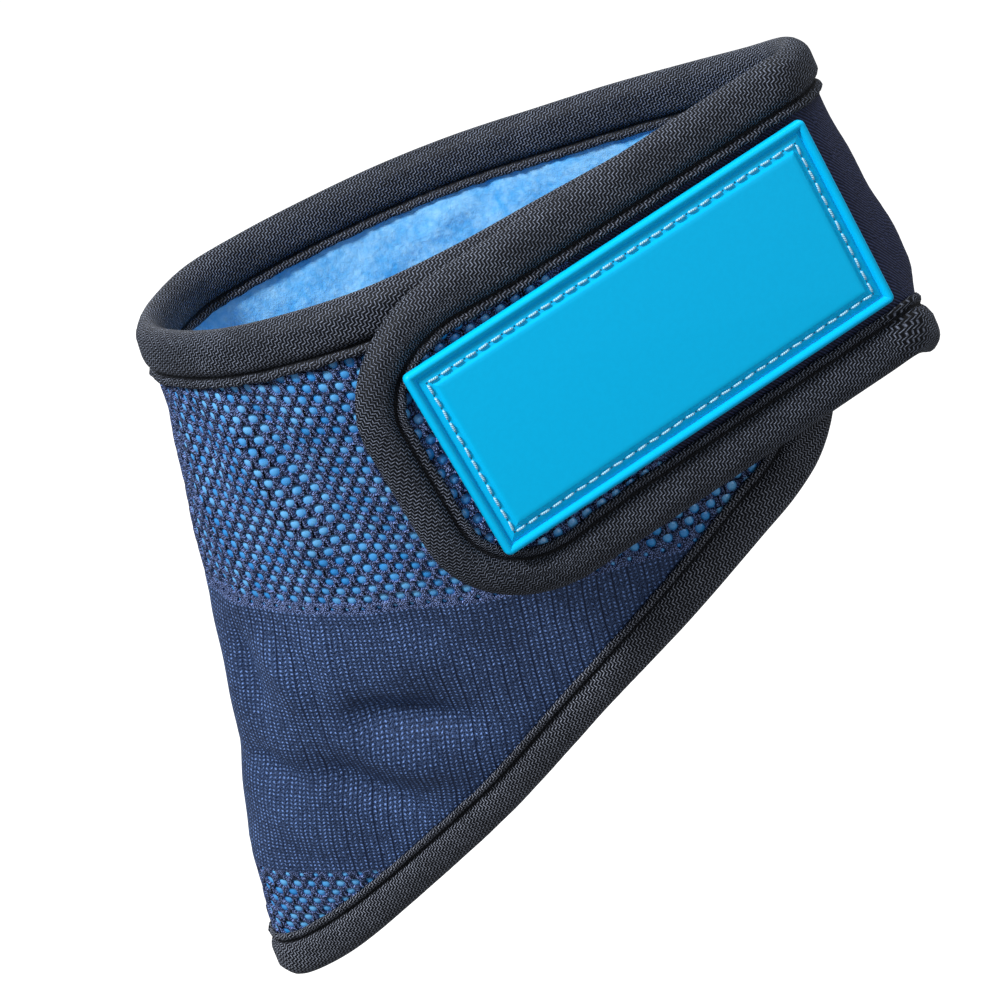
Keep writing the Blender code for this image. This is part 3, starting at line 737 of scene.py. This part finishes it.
def corner_fans():
    """For each of a cell's six corners, the hole's points nearest to it, going the same way round."""
    angles = 2 * math.pi * (np.arange(HOLE_SIDES) + 0.5) / HOLE_SIDES - math.pi / 2
    corners = np.array([(-1, -0.67), (0, -0.67), (1, -0.67), (1, 0.67), (0, 0.67), (-1, 0.67)])
    corner_angle = np.arctan2(corners[:, 1], corners[:, 0])
    away = np.abs((angles[:, None] - corner_angle[None, :] + math.pi) % (2 * math.pi) - math.pi)
    nearest = away.argmin(axis=1)
    fans = []
    for n in range(6):
        mine = [p for p in range(HOLE_SIDES) if nearest[p] == n]
        start = next(p for p in mine if (p - 1) % HOLE_SIDES not in mine)
        fans.append([(start + step) % HOLE_SIDES for step in range(len(mine))])
    return fans


def knit_parts():
    """The whole outer knit: the collar and bib on level rows, the flap on rows along the strap."""

    def on_collar(around, down):
        inside = edge_distance(around, down) > TAPE_UNDER - 0.0022
        return inside & (around > TAPE_UNDER - 0.002) & (around < FLAP_FROM - 0.004)

    def in_flap(along_rim, down):
        end = LENGTH - along_rim
        top = TAPE_UNDER + rounded(end, END_RADIUS_TOP)
        low = TAPE_UNDER + rounded(end, END_RADIUS_LOW)
        tall = fold_length(along_rim)
        return (down > top - 0.002) & (tall - down > low - 0.002) & (end > TAPE_UNDER - 0.0035)

    collar = knit_sheet("collar", on_rows, (-0.150, 0.230), (-0.036, 0.162), on_collar)
    flap = knit_sheet("flap", on_flap, (-0.014, 0.100), (0.004, 0.066), in_flap)
    return collar, flap


def rounded(end, radii):
    """How far a rounded corner pushes the long edge in, this far from the strap's end."""
    reach = np.clip(1 - end / radii[0], 0.0, 1.0)
    return radii[1] * (1 - np.sqrt(1 - reach**2))


def add_outer_knit(name, parts, looks, replaced):
    points, faces, pattern, face_looks = parts
    return add_piece(name, points, faces, looks, replaced, pattern, face_looks)


# ---------------------------------------------------------------- lining
def add_lining(look):
    """The whole lining, a soft sheet just inside the outer knit, crumpled a little inwards."""
    around = np.concatenate([np.arange(TAPE_UNDER - 0.004, LENGTH - 0.008, 0.0018), [LENGTH - 0.008]])
    share = np.linspace(0.0, 1.0, 61)
    top = TAPE_UNDER - 0.004 + rounded(LENGTH - around, END_RADIUS_TOP) + rounded(around, INNER_RADIUS)
    low = TAPE_UNDER - 0.004 + rounded(LENGTH - around, END_RADIUS_LOW) + rounded(around, INNER_RADIUS)
    down = top[:, None] + (fold_length(around) - low - top)[:, None] * share
    across = np.broadcast_to(around[:, None], down.shape)
    free = smooth_step(TAPE_UNDER, TAPE_WIDTH + 0.006, edge_distance(across, down))
    free = free * smooth_step(FLAP_FROM + 0.004, FLAP_FROM - 0.016, across)
    crumple = 0.5 + 0.5 * ripple(across, down, 0.016, 1.1)
    crumple = crumple + 0.35 * ripple(across, down, 0.006, 2.0)
    crumple = np.clip(crumple, 0.0, 1.4) * 0.0009 * free
    relief = creases(across, down)
    front = place(across, down, relief + FACE - LINING_DROP - tucked(across, down))
    back = place(across, down, relief - FACE - crumple + tucked(across, down))
    columns, rows = down.shape
    count = columns * rows
    points = np.concatenate([front.reshape(-1, 3), back.reshape(-1, 3)])
    faces = grid_faces(columns, rows)
    faces = faces + [tuple(count + i for i in reversed(face)) for face in faces]
    edge = [(i * rows, (i + 1) * rows) for i in range(columns - 1)]
    edge = edge + [((i + 1) * rows - 1 + rows, (i + 1) * rows - 1) for i in range(columns - 1)]
    edge = edge + [(i + 1, i) for i in range(rows - 1)]
    edge = edge + [((columns - 1) * rows + i, (columns - 1) * rows + i + 1) for i in range(rows - 1)]
    faces = faces + [(a, b, b + count, a + count) for a, b in edge]
    pattern = np.stack([across, down], axis=-1).reshape(-1, 2)
    return add_piece("lining_sheet", points, faces, [look], "lining", np.vstack([pattern, pattern]))


def add_pockets(name, holes, where, look):
    """The smooth face of the lining where it swells into the knit's holes."""
    centres, size = holes
    rings, lifts = hole_rings(centres, size, POCKET_RINGS)
    pattern = np.vstack([*rings, centres])
    lift = np.concatenate([*lifts, np.full(len(centres), POCKET_RINGS[-1][1] + 0.00003)])
    around, down = where(pattern[:, 0], pattern[:, 1])
    points = place(around, down, FACE + lift + creases(around, down))
    faces = []
    for k in range(len(centres)):
        starts = [(r * len(centres) + k) * HOLE_SIDES for r in range(len(POCKET_RINGS))]
        for outer, inner in zip(starts[:-1], starts[1:]):
            faces.extend(ring_faces(outer, inner))
        middle_point = len(POCKET_RINGS) * len(centres) * HOLE_SIDES + k
        faces.extend((starts[-1] + n, middle_point, starts[-1] + (n + 1) % HOLE_SIDES) for n in range(HOLE_SIDES))
    return add_piece(name, points, faces, [look], None, pattern)


# ---------------------------------------------------------------- tape
# The folded tape's outline, as distance in from the edge and share of TAPE_OUT: lip, stitched groove, roll, edge.
TAPE_FROM_LIP = ((0.0004, 0.42), (0.0000, 0.56), (0.0001, 0.70), (0.0006, 0.80), (0.0012, 0.75), (0.0017, 0.61))
TAPE_TO_ROLL = ((0.0021, 0.53), (0.0025, 0.64), (0.0031, 0.84), (0.0040, 0.96), (0.0049, 1.00))
TAPE_AT_EDGE = ((0.0040, 1.00), (0.0030, 0.96), (0.0021, 0.86), (0.0013, 0.70), (0.0006, 0.48), (0.0001, 0.24))
STITCH_PITCH = 0.0029


def tape_outline(width):
    """The closed outline from the outer lip, round the edge, to the inner lip."""
    lip = [(width - reach, TAPE_OUT * share) for reach, share in TAPE_FROM_LIP + TAPE_TO_ROLL]
    edge = [(reach, TAPE_OUT * share) for reach, share in TAPE_AT_EDGE]
    half = np.array(lip + edge)
    other = half[::-1] * np.array([1.0, -1.0])
    return np.vstack([half, [[-0.0001, 0.0]], other])


def girth_of(outline):
    """How far round the outline each of its points is."""
    return np.concatenate([[0.0], np.cumsum(np.linalg.norm(np.diff(outline, axis=0), axis=1))])


def tape_seams():
    """Where round the outline the two grooves of the seam are."""
    girth = girth_of(tape_outline(TAPE_WIDTH))
    return girth[len(TAPE_FROM_LIP)], girth[-1 - len(TAPE_FROM_LIP)]


def corner(radius, steps):
    """A quarter of an ellipse, as distances in from the end and from the long edge."""
    angle = np.linspace(0.0, math.pi / 2, steps + 1)
    return radius[0] * (1 - np.sin(angle)), radius[1] * (1 - np.cos(angle))


def edge_loop():
    """The collar's whole edge from the inner end's top, clockwise from outside: around, down and tape width."""
    flat = np.arange(0.0, LENGTH, 0.0008)
    rim = flat[(flat > INNER_RADIUS[0]) & (flat < LENGTH - END_RADIUS_TOP[0])]
    hem = flat[(flat > INNER_RADIUS[0]) & (flat < LENGTH - END_RADIUS_LOW[0])][::-1]
    top_in, top_drop = corner(END_RADIUS_TOP, 24)
    low_in, low_rise = corner(END_RADIUS_LOW, 24)
    inner_in, inner_drop = corner(INNER_RADIUS, 14)
    end_down = np.linspace(END_RADIUS_TOP[1], STRAP_WIDTH - END_RADIUS_LOW[1], 16)[1:-1]
    inner_up = np.linspace(fold_length(0.0) - INNER_RADIUS[1], INNER_RADIUS[1], 30)
    pieces = (
        (inner_in[::-1], inner_drop[::-1]),
        (rim, np.zeros(len(rim))),
        (LENGTH - top_in, top_drop),
        (np.full(len(end_down), LENGTH), end_down),
        ((LENGTH - low_in)[::-1], (STRAP_WIDTH - low_rise)[::-1]),
        (hem, fold_length(hem)),
        (inner_in, fold_length(inner_in) - inner_drop),
        (np.zeros(len(inner_up) - 2), inner_up[1:-1]),
    )
    around = np.concatenate([piece[0] for piece in pieces])
    down = np.concatenate([piece[1] for piece in pieces])
    near_end = np.clip((around - (LENGTH - 1.4 * END_RADIUS_TOP[0])) / (1.2 * END_RADIUS_TOP[0]), 0.0, 1.0)
    return around, down, TAPE_WIDTH + (TAPE_END_WIDTH - TAPE_WIDTH) * near_end


def even_loop():
    """The edge loop again with its points evenly spaced, and how far along it each one is."""
    around, down, width = edge_loop()
    around, down, width = (np.append(item, item[0]) for item in (around, down, width))
    line = middle(around, down)
    run = np.concatenate([[0.0], np.cumsum(np.linalg.norm(np.diff(line, axis=0), axis=1))])
    even = np.linspace(0.0, run[-1], int(run[-1] / 0.0013), endpoint=False)
    return even, [np.interp(even, run, item) for item in (around, down, width)]


def tape_points(run, around, down, width, way):
    """The tape's surface along this stretch of edge, as points[station, outline] and each one's place in the weave."""
    side, fall, normal = frame_at(around, down)
    inward = unit(np.cross(normal, way))
    side_side, side_fall, fall_fall = (side * side).sum(1), (side * fall).sum(1), (fall * fall).sum(1)
    side_in, fall_in = (side * inward).sum(1), (fall * inward).sum(1)
    size = side_side * fall_fall - side_fall**2
    step_around = (fall_fall * side_in - side_fall * fall_in) / size
    step_down = (side_side * fall_in - side_fall * side_in) / size
    outlines = np.stack([tape_outline(w) for w in width])
    reach, height = outlines[..., 0], outlines[..., 1]
    count = outlines.shape[1]
    lips = np.zeros(count)
    lips[:6] = 1.0
    lips[-6:] = 1.0
    groove = np.zeros(count)
    groove[5:9] = (0.3, 0.8, 1.0, 0.5)
    groove[-9:-5] = (0.5, 1.0, 0.8, 0.3)
    stitch = 0.5 + 0.5 * np.cos(2 * math.pi * run / STITCH_PITCH)
    frayed = ripple(run, 0.0 * run, 0.0031, 0.3) * 0.5 + ripple(run, 0.0 * run, 0.0012, 0.9) * 0.5
    pulled = 1 - 0.10 * stitch[:, None] * groove - 0.03 * stitch[:, None] * (1 - lips)
    soft = 1 + 0.035 * ripple(run[:, None], 6 * reach, 0.013, 0.7)
    reach = reach + lips * 0.00026 * frayed[:, None]
    height = height * pulled * soft * (1 + 0.10 * lips * frayed[:, None])
    points = place(
        around[:, None] + step_around[:, None] * reach, down[:, None] + step_down[:, None] * reach, height
    )
    pattern = np.stack(np.broadcast_arrays(run[:, None], girth_of(outlines[0])[None, :]), axis=-1)
    return points, pattern


def add_tapes(looks):
    """The tape in two runs, which meet at the covered inner end and on the far side of the hem."""
    run, (around, down, width) = even_loop()
    line = middle(around, down)
    way = unit(np.roll(line, -1, axis=0) - np.roll(line, 1, axis=0))
    seam = int(np.argmax((down > STRAP_WIDTH / 2) & (around < FLAP_FROM - STRAP_WIDTH / 2)))
    closed = [np.concatenate([item, item[:1]]) for item in (around, down, width, way)]
    run = np.append(run, run[-1] + run[1])
    pieces = []
    for name, replaced, look, first, last in (
        ("neck_tape_cloth", "neck_tape", looks[0], 0, seam),
        ("hem_tape_cloth", "hem_tape", looks[1], seam, len(run) - 1),
    ):
        part = [item[first : last + 1] for item in closed]
        points, pattern = tape_points(run[first : last + 1], *part)
        columns, rows = points.shape[:2]
        faces = grid_faces(columns, rows)
        faces = [face[::-1] for face in faces]
        pieces.append(add_piece(name, points, faces, [look], replaced, pattern))
    return pieces


# ---------------------------------------------------------------- badge and closure
def flap_matrix(along, down, out):
    rows = np.eye(4)
    rows[:3, 0], rows[:3, 1], rows[:3, 2] = -FLAP_FRONT, -FLAP_DOWN, FLAP_OUT
    rows[:3, 3] = FLAP_CORNER + along * FLAP_FRONT + down * FLAP_DOWN + out * FLAP_OUT
    return rows


def rounded_ring(length, height, radius, inset, level, steps=6):
    """A ring round a rounded rectangle, this far in from its edge and at this level."""
    radius = max(radius - inset, 0.0001)
    angle = np.linspace(0.0, math.pi / 2, steps + 1)
    ring = []
    for quarter, (x, y) in enumerate(((1, 1), (-1, 1), (-1, -1), (1, -1))):
        centre = (x * (length / 2 - inset - radius), y * (height / 2 - inset - radius))
        turn = angle + quarter * math.pi / 2
        ring.extend((centre[0] + radius * math.cos(t), centre[1] + radius * math.sin(t), level) for t in turn)
    return ring


def ringed_solid(length, height, radius, rings):
    """Points and faces of a flat solid built ring by ring, closed at both ends."""
    points = [rounded_ring(length, height, radius, inset, level) for inset, level in rings]
    around = len(points[0])
    faces = []
    for k in range(len(rings) - 1):
        for i in range(around):
            j = (i + 1) % around
            faces.append((k * around + i, k * around + j, (k + 1) * around + j, (k + 1) * around + i))
    faces.append(tuple(range(around))[::-1])
    faces.append(tuple((len(rings) - 1) * around + i for i in range(around)))
    return np.array(points).reshape(-1, 3), faces


def to_flap(points, along, down, out):
    matrix = flap_matrix(along, down, out)
    return points @ matrix[:3, :3].T + matrix[:3, 3]


BADGE_MIDDLE = (BADGE_START + BADGE_LENGTH / 2, BADGE_DROP + BADGE_HEIGHT / 2, 0.0)
BADGE_TOP = BADGE_BACK + BADGE_THICKNESS
STITCH_LENGTH = 0.0028


def add_badge(look):
    """The moulded badge: a rounded bead round it, a ledge for the stitches and a raised blank panel."""
    ledge = BADGE_BEAD + 0.0003
    panel = BADGE_BEAD + BADGE_LEDGE
    rings = (
        (BADGE_BACK_MARGIN + 0.0004, FACE + 0.0003),
        (BADGE_BACK_MARGIN, BADGE_BACK),
        (0.0003, BADGE_BACK),
        (0.0000, BADGE_BACK + 0.0003),
        (0.0000, BADGE_TOP - 0.0006),
        (0.00015, BADGE_TOP - 0.0002),
        (0.0004, BADGE_TOP + 0.0001),
        (0.0008, BADGE_TOP + 0.0002),
        (0.0012, BADGE_TOP + 0.0001),
        (BADGE_BEAD - 0.00015, BADGE_TOP - 0.0002),
        (BADGE_BEAD, BADGE_TOP - 0.0008),
        (ledge, BADGE_TOP - 0.0009),
        (ledge + 0.0003, BADGE_TOP - 0.0006),
        (panel - 0.0001, BADGE_TOP - 0.0006),
        (panel + 0.0001, BADGE_TOP - 0.0005),
        (panel + 0.0004, BADGE_TOP - 0.0001),
        (panel + 0.0007, BADGE_TOP),
        (panel + 0.0014, BADGE_TOP + 0.00003),
    )
    points, faces = ringed_solid(BADGE_LENGTH, BADGE_HEIGHT, BADGE_CORNER, rings)
    made = add_piece("badge_moulding", to_flap(points, *BADGE_MIDDLE), faces, [look], "badge")
    made.data.set_sharp_from_angle(angle=math.radians(50))
    return made


def stitch_line(length, height, inset, pitch):
    """Starts and headings of the stitches round a rectangle, evenly spaced along each side."""
    x, y = length / 2 - inset, height / 2 - inset
    ends = [(x, y), (-x, y), (-x, -y), (x, -y), (x, y)]
    places = []
    for (x0, y0), (x1, y1) in zip(ends[:-1], ends[1:]):
        side = math.hypot(x1 - x0, y1 - y0)
        count = round(side / pitch)
        for k in range(count):
            share = (k + 0.5) / count
            places.append((x0 + (x1 - x0) * share, y0 + (y1 - y0) * share, math.atan2(y1 - y0, x1 - x0)))
    return places


def add_stitches(name, places, level, length, radius, out_at, look):
    """Short arched stitches, each a rounded thread that dips into the ledge at both ends."""
    steps, sides = 9, 8
    share = np.linspace(-1.0, 1.0, steps)
    angle = 2 * math.pi * np.arange(sides) / sides
    thick = radius * np.sqrt(np.clip(1 - share**6, 0.0, 1.0)) + 0.00003
    arch = level + radius * (0.85 - 1.2 * np.abs(share) ** 3)
    points, faces, pattern = [], [], []
    for n, (x, y, heading) in enumerate(places):
        heading = heading + 0.07 * math.sin(2.1 * n)
        local_x = share[:, None] * length / 2 + 0 * angle
        local_y = thick[:, None] * np.cos(angle)
        local_z = arch[:, None] + thick[:, None] * np.sin(angle)
        first = n * steps * sides
        points.append(
            np.stack(
                [
                    x + local_x * math.cos(heading) - local_y * math.sin(heading),
                    y + local_x * math.sin(heading) + local_y * math.cos(heading),
                    local_z,
                ],
                axis=-1,
            ).reshape(-1, 3)
        )
        pattern.append(np.stack([local_x, np.broadcast_to(angle * radius, local_x.shape)], axis=-1).reshape(-1, 2))
        for i in range(steps - 1):
            for j in range(sides):
                k = (j + 1) % sides
                a, b = first + i * sides, first + (i + 1) * sides
                faces.append((a + j, b + j, b + k, a + k))
        faces.append(tuple(first + j for j in range(sides)))
        faces.append(tuple(first + (steps - 1) * sides + j for j in range(sides))[::-1])
    points = to_flap(np.vstack(points), *out_at)
    return add_piece(name, points, faces, [look], None, np.vstack(pattern))


def add_needle_hole_shade(places, level, pitch, radius, out_at, look):
    """Painted shade: a small flat dark disc midway between each stitch and the next, standing for the shade in a needle
    hole.
    """
    angle = 2 * math.pi * np.arange(8) / 8
    points, faces = [], []
    for n, (x, y, heading) in enumerate(places):
        x, y = x + math.cos(heading) * pitch / 2, y + math.sin(heading) * pitch / 2
        points.extend((x + radius * math.cos(t), y + radius * math.sin(t), level) for t in angle)
        faces.append(tuple(range(8 * n, 8 * n + 8)))
    points = to_flap(np.array(points), *out_at)
    return add_piece("badge_needle_hole_shade", points, faces, [look], None)


def add_closure(look):
    """The plain hook-and-loop pad between the flap and the strap under it."""
    out = -(FACE + 0.0003)
    rings = (
        (0.0003, out - CLOSURE_THICKNESS),
        (0.0000, out - CLOSURE_THICKNESS + 0.0004),
        (0.0001, out - CLOSURE_THICKNESS * 0.6),
        (0.0006, out - CLOSURE_THICKNESS * 0.52),
        (0.0001, out - CLOSURE_THICKNESS * 0.44),
        (0.0000, out - 0.0004),
        (0.0003, out),
    )
    points, faces = ringed_solid(CLOSURE_LENGTH, CLOSURE_HEIGHT, 0.0030, rings)
    at = (CLOSURE_START + CLOSURE_LENGTH / 2, CLOSURE_DROP + CLOSURE_HEIGHT / 2, 0.0)
    return add_piece("closure_pads", to_flap(points, *at), faces, [look], "closure_pad")


# ---------------------------------------------------------------- room
def add_camera():
    data = bpy.data.cameras.new("camera")
    data.lens = LENS
    data.sensor_width = 36.0
    camera = bpy.data.objects.new("camera", data)
    back = np.array([0.0, -math.cos(CAMERA_ELEVATION), math.sin(CAMERA_ELEVATION)])
    camera.location = np.array(CAMERA_AIM) + CAMERA_DISTANCE * back
    camera.rotation_euler = (math.pi / 2 - CAMERA_ELEVATION, 0.0, 0.0)
    bpy.context.scene.collection.objects.link(camera)
    bpy.context.scene.camera = camera


def add_light(name, place_at, aim, size, power, tint=(1.0, 1.0, 1.0)):
    data = bpy.data.lights.new(name, "AREA")
    data.shape = "DISK"
    data.size = size
    data.energy = power
    data.color = tint
    light = bpy.data.objects.new(name, data)
    back = unit(np.array(place_at) - np.array(aim))
    side = unit(np.cross([0.0, 0.0, 1.0], back))
    rows = np.eye(4)
    rows[:3, 0], rows[:3, 1], rows[:3, 2], rows[:3, 3] = side, np.cross(back, side), back, place_at
    light.matrix_world = Matrix(rows.tolist())
    bpy.context.scene.collection.objects.link(light)


def add_room():
    look = Look("floor_paint", 0.9, Specular_IOR_Level=0.1)
    look.colour((0.40, 0.40, 0.40, 1.0))
    look.shader.inputs["Emission Color"].default_value = (1.0, 1.0, 1.0, 1.0)
    look.shader.inputs["Emission Strength"].default_value = 0.85
    mesh = bpy.data.meshes.new("floor")
    reach = 60.0
    mesh.from_pydata(
        [(-reach, -reach, FLOOR_LEVEL), (reach, -reach, FLOOR_LEVEL), (reach, reach, FLOOR_LEVEL), (-reach, reach, FLOOR_LEVEL)],
        [],
        [(0, 1, 2, 3)],
    )
    mesh.materials.append(look.material)
    floor = bpy.data.objects.new("floor", mesh)
    bpy.context.scene.collection.objects.link(floor)
    floor.visible_diffuse = False
    floor.visible_glossy = False
    world = bpy.data.worlds.new("studio")
    world.use_nodes = True
    world.node_tree.nodes["Background"].inputs["Color"].default_value = (0.95, 0.97, 1.0, 1.0)
    world.node_tree.nodes["Background"].inputs["Strength"].default_value = 0.28
    bpy.context.scene.world = world
    bpy.context.scene.view_settings.view_transform = "Standard"
    aim = (0.0, 0.0, -0.06)
    add_light("key", (-0.85, -0.60, 0.75), aim, 0.3, 20.0)
    add_light("fill", (0.80, -0.90, 0.55), aim, 0.9, 2.4)
    add_light("top", (0.15, 0.45, 1.10), aim, 0.8, 8.0)
    add_light("back", (-0.5, 1.1, 0.3), aim, 0.9, 3.0)


# ---------------------------------------------------------------- the whole scene
add_camera()
add_room()
knit_looks = [perforated_look(), ribbed_look(), nape_look()]
satin = pocket_look()
(collar_parts, collar_holes), (flap_parts, flap_holes) = knit_parts()
collar_knit = add_outer_knit("outer_knit_collar", collar_parts, knit_looks, "outer_cloth")
flap_knit = add_outer_knit("outer_knit_flap", flap_parts, knit_looks, None)
lining = add_lining(lining_look())
pockets = [
    add_pockets("lining_pockets_collar", collar_holes, on_rows, satin),
    add_pockets("lining_pockets_flap", flap_holes, on_flap, satin),
]
neck_twill = twill_look("neck_twill", (0.260, 0.300, 0.400))
hem_twill = twill_look("hem_twill", (0.400, 0.440, 0.550))
neck_tape, hem_tape = add_tapes([neck_twill, hem_twill])
badge = add_badge(rubber_look())
badge_places = stitch_line(BADGE_LENGTH, BADGE_HEIGHT, BADGE_BEAD + BADGE_LEDGE - 0.0008, STITCH_LENGTH)
badge_ledge = BADGE_TOP - 0.0006
add_stitches("badge_stitches", badge_places, badge_ledge, 0.0023, 0.00022, BADGE_MIDDLE, thread_look())
# Painted shade in the needle holes between the stitches.
add_needle_hole_shade(badge_places, badge_ledge + 0.00002, STITCH_LENGTH, 0.00020, BADGE_MIDDLE, needle_hole_shade_look())
closure = add_closure(loop_tape_look())
